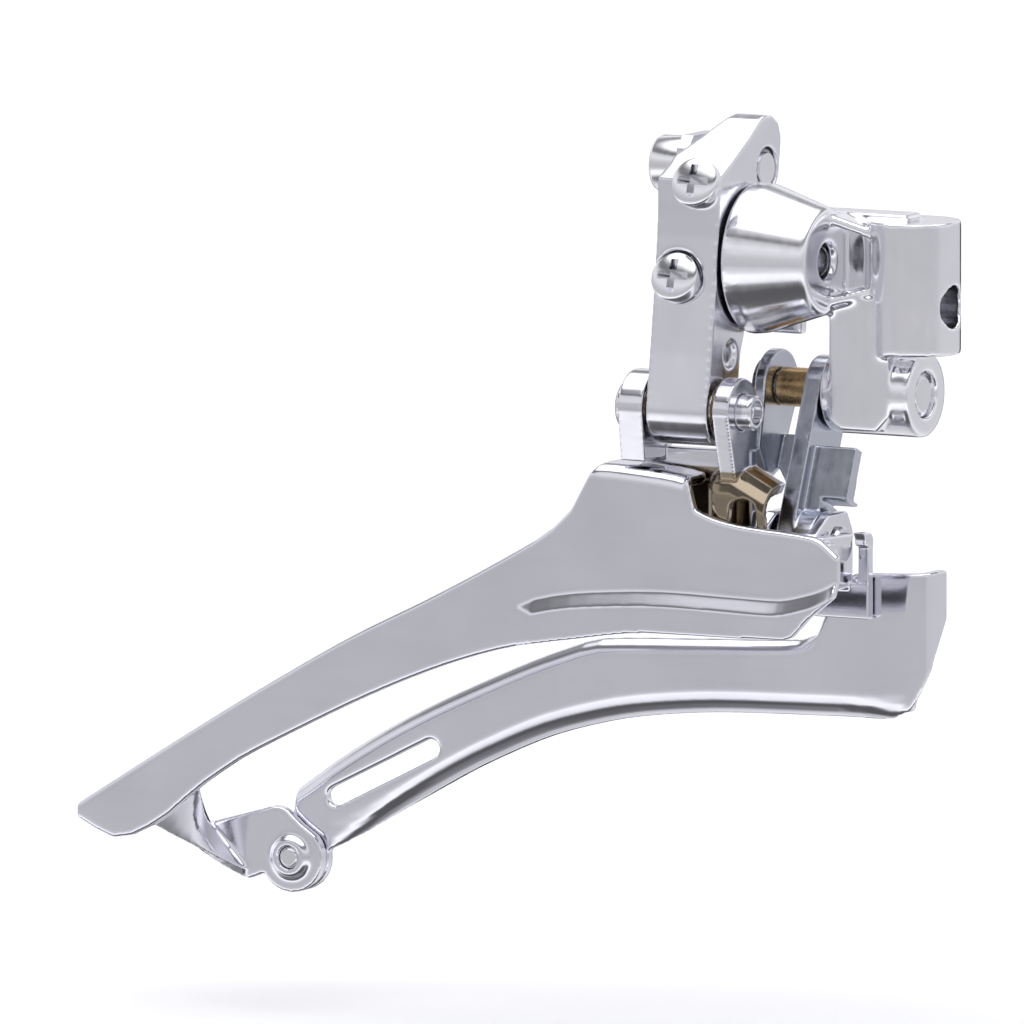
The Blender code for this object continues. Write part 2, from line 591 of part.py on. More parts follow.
low_eye = rod(INNER_LOW, LOW_EYE_R, FRONT_WALL[1] - 0.5, EYE_FRONT, 34)
join(inner_link, rear_wall, web_back, panel, low_eye)
cut(inner_link, rod(INNER_TOP, INNER_PIN_R + RUN, -14, 0, 32))
cut(inner_link, rod(INNER_LOW, cage_bush_r + SEAT, -8, 8, 32))
hand_over(inner_link, "inner_link", PLATED, (0, *INNER_TOP))

# ---- cage ----------------------------------------------------------------------------------------------
OUTER_TOP = [(-89.6, -65.1), (-76.2, -56.7), (-65.6, -50.3), (-54.3, -43.9), (-44.2, -38.9), (-35.4, -34.2),
             (-29.1, -30.4), (-26.0, -27.3), (-23.9, -23.4), (-22.9, -22.7), (-17.0, -23.0), (-12.2, -23.6),
             (-11.0, -27.2), (-5.9, -28.6), (3.8, -29.5), (6.8, -31.6)]
OUTER_BOTTOM = [(-89.6, -66.6), (-84.5, -68.7), (-80.0, -67.0), (-73.4, -61.9), (-66.6, -57.6), (-35.4, -44.3),
                (-26.3, -42.6), (-16.3, -41.3), (0.8, -41.1), (3.6, -38.6), (6.8, -36.0)]
CREASE = [(-89.6, -66.0), (-80.0, -65.0), (-66.6, -56.0), (-35.4, -42.0), (-32.5, -39.6), (-24.2, -38.0),
          (-13.8, -37.4), (-1.2, -37.6), (3.6, -36.6), (6.8, -35.2)]
JOGGLE = 1.0
TOP_BEND = 1.6
FLANGE = 5.2
NOTCH_BACK = -12.2        # where the top flange ends and the edge drops to clear the link bracket
NOTCH_FRONT = -11.0
FLANGE_START = -24.2
FLANGE_FULL = -23.0
JOGGLE_BACK = -33.4       # where the pressed step in the plate starts, fading in over JOGGLE_FADE
JOGGLE_FADE = 1.6
JOGGLE_RISE = 0.85        # half the height the step takes
EDGE_ROUND = 0.45


def outer_section(x):
    """The outer plate's cross-section at x: bottom edge, inboard side, top flange, outboard side."""
    top = follow(OUTER_TOP, x)
    bottom = follow(OUTER_BOTTOM, x)
    room = top - bottom
    crease = follow(CREASE, x)
    flanged = min(1.0, max(0.0, (x - FLANGE_START) / (FLANGE_FULL - FLANGE_START)))
    if x > NOTCH_BACK:
        flanged = 0.0
    reach = SHEET + (FLANGE - SHEET) * flanged
    bend = min(EDGE_ROUND + (TOP_BEND - EDGE_ROUND) * flanged, 0.3 * room)
    step = JOGGLE * min(1.0, max(0.0, (x - JOGGLE_BACK) / JOGGLE_FADE))
    near = OUTER_Y
    far = OUTER_Y + SHEET
    low = bottom + max(0.1, min(crease - JOGGLE_RISE - bottom, 0.35 * room))
    high = bottom + min(max(crease + JOGGLE_RISE - bottom, 0.3), 0.5 * room)
    under = min(0.3 + (SHEET - 0.3) * flanged, 0.2 * room)
    side = [(near - step, bottom), (far - step, bottom), (far - step, low), (far, high)]
    side += [(far, top - under - 0.1 * room), (far + 0.3 * flanged, top - under - 0.05), (near + reach, top - under)]
    side += [(near + reach - 0.05 * (1 - flanged), top)]
    for angle in (0, 30, 60, 90):
        turn = math.radians(angle)
        side.append((near + bend - bend * math.sin(turn), top - bend + bend * math.cos(turn)))
    side += [(near, high), (near - step, low)]
    return [(x, y, z) for y, z in side]


stations = spaced(OUTER_TOP[0][0], FLANGE_START, 2.4) + spaced(FLANGE_START, FLANGE_FULL, 0.4)[1:]
stations += spaced(FLANGE_FULL, NOTCH_BACK, 1.6)[1:] + [NOTCH_BACK + 0.02]
stations += spaced(NOTCH_BACK, NOTCH_FRONT, 0.2)[1:] + spaced(NOTCH_FRONT, OUTER_TOP[-1][0], 1.1)[1:]
outer_plate = loft([outer_section(x) for x in stations])
tab_near = INNER_PLATE_Y - GAP - SHEET - 0.2
tab_far = INNER_PLATE_Y - GAP
TAIL_FOLD = [(-74.1, -73.4), (-79.3, -68.5)]      # the fold between the bridge and the tail tab, low end first
TAIL_NEAR = (-81.0, -74.2)                        # where the bridge leaves the plate's lower edge
tail_rows = []
for part_way in spaced(0.0, 1.0, 0.1):
    near_x = TAIL_NEAR[0] + (TAIL_NEAR[1] - TAIL_NEAR[0]) * part_way
    near_z = follow(OUTER_BOTTOM, near_x) + 0.9
    far_x = TAIL_FOLD[0][0] + (TAIL_FOLD[1][0] - TAIL_FOLD[0][0]) * part_way
    far_z = TAIL_FOLD[0][1] + (TAIL_FOLD[1][1] - TAIL_FOLD[0][1]) * part_way
    row = []
    for along in spaced(0.0, 1.0, 0.1):
        sag = 1.0 * along * (1 - along)
        row.append((near_x + (far_x - near_x) * along, OUTER_Y + 0.5 + (tab_near + 0.6 - OUTER_Y - 0.5) * along,
                    near_z + (far_z - near_z) * along - sag))
    tail_rows.append(row)
tail_sheet = sheet(tail_rows, SHEET)
tail_tab = prism("Y", circle((TAIL_X, TAIL_Z), TAIL_R, -150, 40, 21) + [(-67.6, -67.6), (-69.6, -65.9), (-71.0, -65.7)] +
                 [(-79.7, -68.2), (-74.3, -74.2)], tab_near, tab_far)
tail_at = Matrix.Translation((TAIL_X, 0, TAIL_Z)) @ Matrix.Rotation(math.radians(90), 4, "Z")
collar = lathe([(tab_near - 0.7, 0), (tab_near - 0.7, 2.0), (tab_near - 0.3, 2.4), (tab_near + 0.5, 2.4),
                (tab_near + 0.5, 0)], tail_at, 28)
join(tail_tab, collar)
join(tail_sheet, tail_tab)
join(outer_plate, tail_sheet)
thread = [(tab_near - 1, 0), (tab_near - 1, TAIL_SCREW_R + SEAT), (4, TAIL_SCREW_R + SEAT), (4, 0)]
cut(outer_plate, lathe(thread, tail_at, 26, 0.3))
hand_over(outer_plate, "cage_outer_plate", PLATED)

INNER_TOP_EDGE = [(-69.3, -63.9), (-64.3, -60.3), (-55.5, -55.0), (-45.4, -50.1), (-35.3, -45.9), (-30.3, -44.4),
                  (-17.7, -43.7), (-5.1, -43.0), (-2.0, -41.6), (-0.9, -38.2), (-0.1, -35.4), (9.4, -34.8),
                  (12.3, -34.7)]
INNER_BOTTOM_EDGE = [(-69.3, -70.6), (-65.4, -70.3), (-62.4, -69.2), (-55.5, -65.2), (-45.4, -59.6),
                     (-35.3, -55.4), (-25.3, -53.1), (-15.2, -52.1), (4.9, -51.4), (8.1, -50.4), (11.0, -46.0),
                     (12.3, -40.0)]
FRONT_TURN = 8.6          # where the inner plate's front starts to turn inboard
FRONT_BEND = [(9.5, 0.22), (10.2, 0.75), (10.65, 1.6), (10.85, 2.9), (10.9, 5.0)]
RIM_BEND = 1.7            # outside radius of the rolled top rim
BOTTOM_BEND = 2.6
CURL_START = -64.0        # the bottom curl fades in from here to leave the tail screw free
CURL_FADE = 12.0
CURL_END = 8.0            # and it fades out over this much before the front bend
RIM_END = -2.5            # the rolled top rim ends here, below the step up to the front
RIM_FADE = 4.0
stations = [(x, 0.0) for x in spaced(INNER_TOP_EDGE[0][0], FRONT_TURN, 2.3)] + FRONT_BEND
rows = []
for number, (x, inboard) in enumerate(stations):
    y = INNER_PLATE_Y + inboard
    back_x, back_in = stations[max(number - 1, 0)]
    next_x, next_in = stations[min(number + 1, len(stations) - 1)]
    size = math.hypot(next_x - back_x, next_in - back_in)
    behind = -(next_in - back_in) / size
    aside = (next_x - back_x) / size
    top = follow(INNER_TOP_EDGE, x)
    bottom = follow(INNER_BOTTOM_EDGE, x + inboard * 0.3)
    curl = min(1.0, max(0.0, (x - CURL_START) / CURL_FADE), max(0.0, (FRONT_TURN - x) / CURL_END))
    rim = min(1.0, max(0.0, (RIM_END - x) / RIM_FADE))
    slope = (follow(INNER_TOP_EDGE, x + 0.2) - follow(INNER_TOP_EDGE, x - 0.2)) / 0.4
    tall = RIM_BEND * math.hypot(1, slope * rim)
    row = []
    for angle in (0, 25, 50, 75, 90):
        turn = math.radians(angle)
        out = rim * RIM_BEND * (1 - math.sin(turn))
        row.append((x + behind * out, y + aside * out, top - tall + tall * math.cos(turn)))
    high = top - tall
    low = bottom + BOTTOM_BEND
    row += [(x, y, high + (low - high) * part) for part in (0.3, 0.65)]
    for angle in (90, 65, 40, 15):
        turn = math.radians(angle)
        out = curl * BOTTOM_BEND * (1 - math.sin(turn))
        row.append((x + behind * out, y + aside * out, low - BOTTOM_BEND * math.cos(turn)))
    out = curl * (BOTTOM_BEND + 0.6)
    row.append((x + behind * out, y + aside * out, bottom - 0.3 * (1 - curl)))
    rows.append(row)
inner_plate = sheet(rows, SHEET)
neck = prism("Y", circle((TAIL_X, TAIL_Z), TAIL_R, -190, 10, 19) + [(TAIL_X + 4.2, TAIL_Z + 3.4),
             (TAIL_X + 4.0, TAIL_Z + 5.5), (TAIL_X + 0.6, TAIL_Z + 6.5)], INNER_PLATE_Y, INNER_PLATE_Y + SHEET)
join(inner_plate, neck)
cut(inner_plate, lathe([(0, 0), (0, TAIL_SCREW_R + 0.2), (9, TAIL_SCREW_R + 0.2), (9, 0)], tail_at, 24))
SLOT_R = 1.1
low_end = (-64.0, -64.4)
high_end = (-51.8, -58.2)
tilt = math.degrees(math.atan2(high_end[1] - low_end[1], high_end[0] - low_end[0]))
slot = prism("Y", circle(low_end, SLOT_R, tilt + 90, tilt + 270, 9) + circle(high_end, SLOT_R, tilt - 90, tilt + 90, 9),
             INNER_PLATE_Y - 2, INNER_PLATE_Y + 6)
cut(inner_plate, slot)
hand_over(inner_plate, "cage_inner_plate", PLATED)

screw_far = INNER_PLATE_Y + SHEET + GAP
tail_screw = lathe([(tab_near - 0.6, 0), (tab_near - 0.6, TAIL_SCREW_R - 0.3), (tab_near - 0.3, TAIL_SCREW_R),
                    (screw_far, TAIL_SCREW_R), (screw_far, 2.5), (screw_far + 1.2, 2.5), (screw_far + 1.7, 2.0),
                    (screw_far + 1.7, 0)], tail_at, 24)
head_at = Matrix.Translation((TAIL_X, screw_far + 1.7, TAIL_Z)) @ Matrix.Rotation(math.radians(-90), 4, "Z")
cut(tail_screw, cross(head_at, 1.5, 0.3, 0.9))
hand_over(tail_screw, "cage_tail_screw", HARD_STEEL, (TAIL_X, screw_far, TAIL_Z))

# bracket with the two ears on the outer link's lower pin
WELD_NEAR = OUTER_Y + SHEET + GAP
WALL_NEAR = OUTER_Y + FLANGE + 0.6
WALL_FAR = WALL_NEAR + 1.4
REAR_EAR = (LINK_BACK - 3.3, LINK_BACK - GAP)
FRONT_EAR = (LINK_FRONT + 0.6, LINK_FRONT + 2.6)
FLANGE_TOP = -22.3
bracket = box((REAR_EAR[0], WALL_NEAR, -30.5), (-6.9, WALL_FAR, FLANGE_TOP + 1.2))
ear_shape = circle(OUTER_LOW, EAR_R, 180, 0, 17) + [(WALL_FAR, FLANGE_TOP), (OUTER_Y + 0.6, FLANGE_TOP)]
rear_ear = prism("X", ear_shape, *REAR_EAR)
front_shape = circle(OUTER_LOW, FRONT_EAR_R, 180, 0, 17) + [(WALL_FAR, -24.0), (WALL_NEAR, -26.5),
                                                            (OUTER_LOW[0] - 1.5, -25.0)]
front_ear = prism("X", front_shape, *FRONT_EAR)
HUMP_BACK = NOTCH_BACK + 0.65
HUMP_ROUND = 2.7
HUMP_FRONT = -3.2
HUMP_TOP = -22.6
HUMP_WALL = 1.3
hump_rows = []
for x in [HUMP_BACK + HUMP_ROUND * (1 - math.cos(math.radians(a))) for a in (12, 25, 40, 55, 70, 90)] + [-7.4, -5.4, HUMP_FRONT]:
    end = math.sqrt(1 - min(1.0, max(0.0, (HUMP_BACK + HUMP_ROUND - x) / HUMP_ROUND)) ** 2)
    fall = max(0.0, x + 7.4) * 0.5
    bulge = (WALL_NEAR - 0.3 - WELD_NEAR) * end
    rise = 3.4 * end
    top = HUMP_TOP - fall - 3.4 * (1 - end) * 0.5
    row = [(x, WALL_FAR, top + 0.1)]
    for angle in (90, 70, 50, 30, 10, 0):
        turn = math.radians(angle)
        row.append((x, WALL_NEAR - 0.3 - bulge * math.cos(turn), top - rise + rise * math.sin(turn)))
    row.append((x, WALL_NEAR - 0.3 - bulge, -31.0))
    row.append((x, WALL_NEAR - 0.3 - bulge, -34.0))
    hump_rows.append(row)
hump = sheet(hump_rows, HUMP_WALL)
join(bracket, rear_ear, front_ear, hump)
cut(bracket, rod(OUTER_LOW, LOWER_PIN_R + SEAT, LINK_BACK - 5, LINK_FRONT + 5, 32))
arch = prism("Y", circle((-5.9, -27.6), 1.7, 0, 180, 13) + [(-7.9, -31.5), (-3.9, -31.5)], WELD_NEAR - 2, WALL_NEAR - 0.5)
cut(bracket, arch)
hand_over(bracket, "cage_link_bracket", PLATED)

# bracket with the bar and the two ears on the inner link's lower pin
BAR_FAR = INNER_LOW[0] - LOW_EYE_R - 0.4
BAR_NEAR = BAR_FAR - 1.3
EAR_BACK = (FRONT_WALL[0] - 1.9, FRONT_WALL[0] - 0.4)
FOOT_FAR = INNER_PLATE_Y - GAP
FOOT_Z = -36.6
bar = box((EAR_BACK[0], BAR_NEAR, -32.8), (EAR_FRONT[1], BAR_FAR, -29.8))
ear_top = INNER_LOW[1] + CAGE_EYE_R
side = [(BAR_NEAR, -29.8), (INNER_LOW[0] - 2.1, ear_top), (INNER_LOW[0] + 2.1, ear_top), (FOOT_FAR - 0.2, -30.2),
        (FOOT_FAR - 0.2, FOOT_Z), (BAR_NEAR, FOOT_Z)]
front_side = prism("X", side, *EAR_FRONT)
back_side = prism("X", side, *EAR_BACK)
BRIDGE = (EAR_FRONT[1] + 1.1, EAR_FRONT[1] + 2.5)
foot = box((EAR_BACK[0], FOOT_FAR - 1.4, -40.0), (BRIDGE[1], FOOT_FAR, -36.0))
strap = box((-2.8, WELD_NEAR, -31.4), (BRIDGE[1] - 0.2, BAR_NEAR + 0.2, -30.1))
tab = box((-2.8, WELD_NEAR + 0.05, -35.4), (BRIDGE[1] + 0.9, WELD_NEAR + 1.3, -30.3))
bridge = prism("X", [(WELD_NEAR, -29.6), (FOOT_FAR - 0.6, -30.3), (FOOT_FAR, -31.0), (FOOT_FAR, -31.9),
                     (WELD_NEAR, -30.9)], *BRIDGE)
leg = box((BRIDGE[0] + 0.05, FOOT_FAR - 1.3, -37.0), (BRIDGE[1] - 0.05, FOOT_FAR - 0.05, -31.2))
join(bar, front_side, back_side, foot, strap, tab, bridge, leg)
cut(bar, rod(INNER_LOW, CAGE_PIN_R + SEAT, -9, 9, 32))
hand_over(bar, "cage_pivot_bracket", PLATED)
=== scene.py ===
import json
import math

import bpy
from mathutils import Matrix, Vector


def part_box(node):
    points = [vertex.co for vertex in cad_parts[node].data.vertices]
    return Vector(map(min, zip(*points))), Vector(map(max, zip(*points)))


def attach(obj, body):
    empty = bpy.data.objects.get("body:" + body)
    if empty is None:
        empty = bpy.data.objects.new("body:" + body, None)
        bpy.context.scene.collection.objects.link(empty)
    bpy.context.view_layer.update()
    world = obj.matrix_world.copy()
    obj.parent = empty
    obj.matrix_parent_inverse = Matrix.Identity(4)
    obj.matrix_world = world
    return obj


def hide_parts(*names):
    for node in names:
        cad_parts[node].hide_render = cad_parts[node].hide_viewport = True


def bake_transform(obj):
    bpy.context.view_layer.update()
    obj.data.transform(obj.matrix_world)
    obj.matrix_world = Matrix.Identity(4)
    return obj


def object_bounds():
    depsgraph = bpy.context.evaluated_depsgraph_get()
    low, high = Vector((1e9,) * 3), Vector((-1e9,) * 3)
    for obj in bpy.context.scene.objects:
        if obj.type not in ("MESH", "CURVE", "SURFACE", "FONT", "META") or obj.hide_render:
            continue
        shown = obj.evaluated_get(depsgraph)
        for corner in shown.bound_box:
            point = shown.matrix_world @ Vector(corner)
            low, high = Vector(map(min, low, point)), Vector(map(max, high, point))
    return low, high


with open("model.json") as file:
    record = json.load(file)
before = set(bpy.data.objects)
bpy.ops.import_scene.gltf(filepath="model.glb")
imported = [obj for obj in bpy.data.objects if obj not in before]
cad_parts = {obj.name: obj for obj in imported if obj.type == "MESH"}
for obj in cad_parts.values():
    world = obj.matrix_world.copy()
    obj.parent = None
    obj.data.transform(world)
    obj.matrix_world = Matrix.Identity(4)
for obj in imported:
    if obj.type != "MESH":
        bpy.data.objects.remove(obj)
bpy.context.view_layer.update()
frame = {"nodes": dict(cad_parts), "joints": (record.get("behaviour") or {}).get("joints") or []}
MM = 0.001
nodes = frame["nodes"]

# Bracket body. A gravity-cast aluminium bracket, buffed bright by hand: its half-round column bolts to the
# frame's hanger, and the tapered barrel behind it holds the return spring. Edges are tumbled soft.


def line_noise(tree, scale, detail, stretch=(1.0, 1.0, 1.0)):
    """Noise in the object's own millimetres, stretched along the way the surface was worked."""
    place = tree.nodes.new("ShaderNodeTexCoord")
    mapping = tree.nodes.new("ShaderNodeMapping")
    mapping.inputs["Scale"].default_value = stretch
    noise = tree.nodes.new("ShaderNodeTexNoise")
    noise.inputs["Scale"].default_value = scale
    noise.inputs["Detail"].default_value = detail
    tree.links.new(place.outputs["Object"], mapping.inputs["Vector"])
    tree.links.new(mapping.outputs["Vector"], noise.inputs["Vector"])
    return noise.outputs["Fac"]


def metal(name, dark, light, rough, rough_spread, grain, stretch, depth):
    """A worked metal: blotches in its colour, and a grain that sets its roughness and its fine relief."""
    made = bpy.data.materials.new(name)
    made.use_nodes = True
    tree = made.node_tree
    shader = tree.nodes["Principled BSDF"]
    shader.inputs["Metallic"].default_value = 1.0
    blotch = line_noise(tree, scale=90.0, detail=3.0)
    tint = tree.nodes.new("ShaderNodeValToRGB")
    tint.color_ramp.elements[0].position = 0.3
    tint.color_ramp.elements[0].color = (*dark, 1.0)
    tint.color_ramp.elements[1].position = 0.7
    tint.color_ramp.elements[1].color = (*light, 1.0)
    tree.links.new(blotch, tint.inputs["Fac"])
    tree.links.new(tint.outputs["Color"], shader.inputs["Base Color"])
    streak = line_noise(tree, scale=grain, detail=4.0, stretch=stretch)
    spread = tree.nodes.new("ShaderNodeMapRange")
    spread.inputs["From Min"].default_value = 0.3
    spread.inputs["From Max"].default_value = 0.7
    spread.inputs["To Min"].default_value = rough - rough_spread
    spread.inputs["To Max"].default_value = rough + rough_spread
    tree.links.new(streak, spread.inputs["Value"])
    tree.links.new(spread.outputs["Result"], shader.inputs["Roughness"])
    relief = tree.nodes.new("ShaderNodeBump")
    relief.inputs["Strength"].default_value = 0.25
    relief.inputs["Distance"].default_value = depth * MM
    tree.links.new(streak, relief.inputs["Height"])
    tree.links.new(relief.outputs["Normal"], shader.inputs["Normal"])
    return made


def soften(node, cell, rounds, finish):
    """Tumbles a node's edges: an even skin of cells that wide in mm, then some rounds of smoothing."""
    piece = nodes[node]
    weld = piece.modifiers.new("welded", "WELD")
    weld.merge_threshold = 0.02 * MM
    skin = piece.modifiers.new("skin", "REMESH")
    skin.mode = "VOXEL"
    skin.voxel_size = cell * MM
    skin.use_smooth_shade = True
    tumble = piece.modifiers.new("tumbled", "SMOOTH")
    tumble.factor = 0.5
    tumble.iterations = rounds
    paint(piece, finish)
    return piece


def paint(piece, finish):
    """Puts one finish on the whole of a piece."""
    piece.data.materials.clear()
    piece.data.materials.append(finish)


BUFFED = metal("buffed_aluminium", dark=(0.84, 0.84, 0.88), light=(0.90, 0.90, 0.93), rough=0.17,
               rough_spread=0.04, grain=900.0, stretch=(1.0, 1.0, 0.35), depth=0.02)
soften("bracket_body", 0.19, 16, BUFFED)

# Outer link. A die-cast aluminium link, hollow behind, given one buffed finish over the whole of it.
# It turns on the upper pin and carries both limit screws and the cable bolt.
LINK_CAST = metal("link_aluminium", dark=(0.76, 0.76, 0.81), light=(0.84, 0.84, 0.88), rough=0.20,
                  rough_spread=0.05, grain=900.0, stretch=(1.0, 1.0, 0.3), depth=0.03)
soften("outer_link", 0.17, 18, LINK_CAST)

# Limit screws. Small chromed steel screws with a domed head, a cross recess and a rolled thread; they are
# threaded through the outer link until their tips meet the bracket's stop tongue.


def turned(name, profile, place, finish, body, replaced=(), steps=72):
    """A round piece from (along, radius) points, turned about the place's X axis."""
    points = []
    rings = []
    for along, radius in profile:
        if radius == 0:
            rings.append([len(points)])
            points.append(place @ Vector((along, 0, 0)))
            continue
        ring = []
        for step in range(steps):
            turn = 2 * math.pi * step / steps
            ring.append(len(points))
            points.append(place @ Vector((along, radius * math.cos(turn), radius * math.sin(turn))))
        rings.append(ring)
    faces = []
    for near, far in zip(rings, rings[1:]):
        for i in range(steps):
            j = (i + 1) % steps
            if len(near) == 1:
                faces.append((near[0], far[j], far[i]))
            elif len(far) == 1:
                faces.append((near[i], near[j], far[0]))
            else:
                faces.append((near[i], near[j], far[j], far[i]))
    if profile[0][1] > 0:
        for i in range(steps):
            j = (i + 1) % steps
            faces.append((rings[-1][i], rings[-1][j], rings[0][j], rings[0][i]))
    return place_piece(name, points, faces, finish, body, replaced)


def place_piece(name, points, faces, finish, body, replaced=()):
    """Makes a smooth-shaded piece, rides it on its body and lets it stand for its solids."""
    mesh = bpy.data.meshes.new(name)
    mesh.from_pydata([tuple(p) for p in points], [], faces)
    mesh.validate()
    piece = bpy.data.objects.new(name, mesh)
    bpy.context.scene.collection.objects.link(piece)
    for face in mesh.polygons:
        face.use_smooth = True
    paint(piece, finish)
    mesh.set_sharp_from_angle(angle=math.radians(35))
    if body:
        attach(piece, body)
    if replaced:
        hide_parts(*replaced)
    return piece


def thread(start, end, radius, pitch, depth):
    """Profile points of a rolled thread, ridge after ridge."""
    points = []
    count = int((end - start) / pitch)
    for ridge in range(count):
        at = start + ridge * pitch
        points += [(at, radius - depth), (at + pitch * 0.35, radius), (at + pitch * 0.5, radius),
                   (at + pitch * 0.85, radius - depth)]
    return points


def recess(piece, place, reach, half, deep):
    """Sinks a tapered cross recess into a screw's head."""
    points = []
    for along, grow in ((-0.4 * MM, 1.2), (deep, 0.55)):
        for turn in range(4):
            quarter = Matrix.Rotation(turn * math.pi / 2, 3, "X")
            for a, b in ((reach * grow, -half), (reach * grow, half), (half, half)):
                points.append(place @ (quarter @ Vector((along, a, b))))
    count = 12
    faces = [tuple(reversed(range(count))), tuple(range(count, 2 * count))]
    faces += [(i, (i + 1) % count, count + (i + 1) % count, count + i) for i in range(count)]
    mesh = bpy.data.meshes.new("recess_cutter")
    mesh.from_pydata([tuple(p * 1000) for p in points], [], faces)
    cutter = bpy.data.objects.new("recess_cutter", mesh)
    bpy.context.scene.collection.objects.link(cutter)
    carve(piece, cutter)


def carve(piece, cutter):
    """Cuts a piece with a cutter drawn in millimetres, then drops the cutter."""
    piece.data.transform(Matrix.Scale(1000, 4))
    step = piece.modifiers.new("carve", "BOOLEAN")
    step.operation = "DIFFERENCE"
    step.solver = "EXACT"
    step.object = cutter
    bpy.context.view_layer.update()
    baked = bpy.data.meshes.new_from_object(piece.evaluated_get(bpy.context.evaluated_depsgraph_get()))
    piece.modifiers.clear()
    piece.data = baked
    piece.data.transform(Matrix.Scale(MM, 4))
    bpy.data.objects.remove(cutter, do_unlink=True)
    for face in piece.data.polygons:
        face.use_smooth = True
    piece.data.set_sharp_from_angle(angle=math.radians(35))


CHROMED = metal("chromed_screw_steel", dark=(0.80, 0.80, 0.83), light=(0.88, 0.88, 0.90), rough=0.14,
                rough_spread=0.04, grain=2500.0, stretch=(1.0, 1.0, 1.0), depth=0.01)
SCREW_R = 1.5 * MM
SCREW_PITCH = 0.5 * MM
SCREW_THREAD = 0.24 * MM
HEAD_R = 2.8 * MM
HEAD_DEEP = 2.0 * MM
HEAD_DOME = 0.75 * MM
HEAD_EDGE = 0.15 * MM
CROSS_REACH = 1.9 * MM
CROSS_HALF = 0.45 * MM
CROSS_DEEP = 1.6 * MM
joints = {joint["name"]: joint for joint in frame["joints"]}
for screw, long in (("limit_screw_high", 12.0 * MM), ("limit_screw_low", 16.2 * MM)):
    joint = joints[screw + "_turn"]
    inward = -Vector(joint["axis"]).normalized()
    across = Vector((1, 0, 0))
    place = Matrix((inward, across, inward.cross(across))).transposed().to_4x4()
    place.translation = Vector(joint["pos_m"])
    dome = [(0, 0)]
    for step in range(1, 11):
        turn = math.radians(9 * step)
        dome.append((HEAD_DOME * (1 - math.cos(turn)), HEAD_R * math.sin(turn)))
    profile = dome + [(HEAD_DEEP - HEAD_EDGE, HEAD_R), (HEAD_DEEP, HEAD_R - HEAD_EDGE),
                      (HEAD_DEEP, SCREW_R - 0.2 * MM)]
    profile += thread(HEAD_DEEP + 0.3 * MM, long - 0.6 * MM, SCREW_R, SCREW_PITCH, SCREW_THREAD)
    profile += [(long, SCREW_R - 0.45 * MM), (long, 0)]
    piece = turned(screw + "_turned", profile, place, CHROMED, screw, (screw,))
    recess(piece, place, CROSS_REACH, CROSS_HALF, CROSS_DEEP)

# Cable clamp. A plated steel washer with a groove for the cable, and the steel bolt that pinches the cable
# between the washer and the back of the cable arm. No cable is fitted.
PLATED_SMALL = metal("plated_washer_steel", dark=(0.66, 0.66, 0.71), light=(0.76, 0.76, 0.80), rough=0.20,
                     rough_spread=0.05, grain=2200.0, stretch=(1.0, 1.0, 0.2), depth=0.02)
soften("cable_clamp_washer", 0.08, 3, PLATED_SMALL)
bolt_low, bolt_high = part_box("cable_fixing_bolt")
bolt_at = Vector((bolt_low.x, (bolt_low.y + bolt_high.y) / 2, (bolt_low.z + bolt_high.z) / 2))
BOLT_HEAD_LONG = 3.95 * MM
BOLT_HEAD_R = 3.25 * MM
BOLT_SOCKET_R = 1.9 * MM
BOLT_SOCKET_DEEP = 2.5 * MM
BOLT_R = 2.4 * MM
BOLT_SHANK = 3.0 * MM
BOLT_PITCH = 0.8 * MM
BOLT_THREAD = 0.35 * MM
bolt_long = bolt_high.x - bolt_low.x
thread_at = BOLT_HEAD_LONG + BOLT_SHANK + 0.1 * MM
bolt_profile = [(BOLT_SOCKET_DEEP, 0), (BOLT_SOCKET_DEEP, BOLT_SOCKET_R),
                (0.25 * MM, BOLT_SOCKET_R + 0.05 * MM), (0, BOLT_SOCKET_R + 0.3 * MM),
                (0, BOLT_HEAD_R - 0.55 * MM), (0.15 * MM, BOLT_HEAD_R - 0.25 * MM),
                (0.5 * MM, BOLT_HEAD_R - 0.05 * MM), (BOLT_HEAD_LONG - 0.1 * MM, BOLT_HEAD_R),
                (BOLT_HEAD_LONG, BOLT_HEAD_R - 0.15 * MM), (BOLT_HEAD_LONG, BOLT_R),
                (BOLT_HEAD_LONG + BOLT_SHANK, BOLT_R)]
bolt_profile += thread(thread_at, bolt_long - 0.5 * MM, BOLT_R, BOLT_PITCH, BOLT_THREAD)
bolt_profile += [(bolt_long, BOLT_R - 0.6 * MM), (bolt_long, 0)]
bolt = turned("cable_fixing_bolt_turned", bolt_profile, Matrix.Translation(bolt_at), CHROMED,
              "cable_fixing_bolt", ("cable_fixing_bolt",))

# Pins, bushes and clips. Ground steel pins pressed into the bracket and the cage, sintered bronze bushes in
# the links, and dark spring steel clips in the pins' grooves.
GROUND_PIN = metal("ground_pin_steel", dark=(0.72, 0.72, 0.75), light=(0.82, 0.82, 0.85), rough=0.16,
                   rough_spread=0.04, grain=2600.0, stretch=(1.0, 1.0, 1.0), depth=0.01)
BRONZE = metal("sintered_bronze", dark=(0.42, 0.27, 0.12), light=(0.62, 0.44, 0.23), rough=0.28,
               rough_spread=0.08, grain=2400.0, stretch=(1.0, 1.0, 1.0), depth=0.02)
CLIP_STEEL = metal("blued_spring_steel", dark=(0.16, 0.16, 0.18), light=(0.26, 0.26, 0.29), rough=0.34,
                   rough_spread=0.08, grain=2000.0, stretch=(1.0, 1.0, 1.0), depth=0.02)
PINS = ("outer_link_upper_pin", "outer_link_lower_pin", "inner_link_upper_pin", "inner_link_lower_pin")
BUSHES = ("outer_link_upper_bush", "outer_link_lower_bush", "inner_link_upper_bush", "inner_link_lower_bush")
for node in PINS:
    soften(node, 0.1, 3, GROUND_PIN)
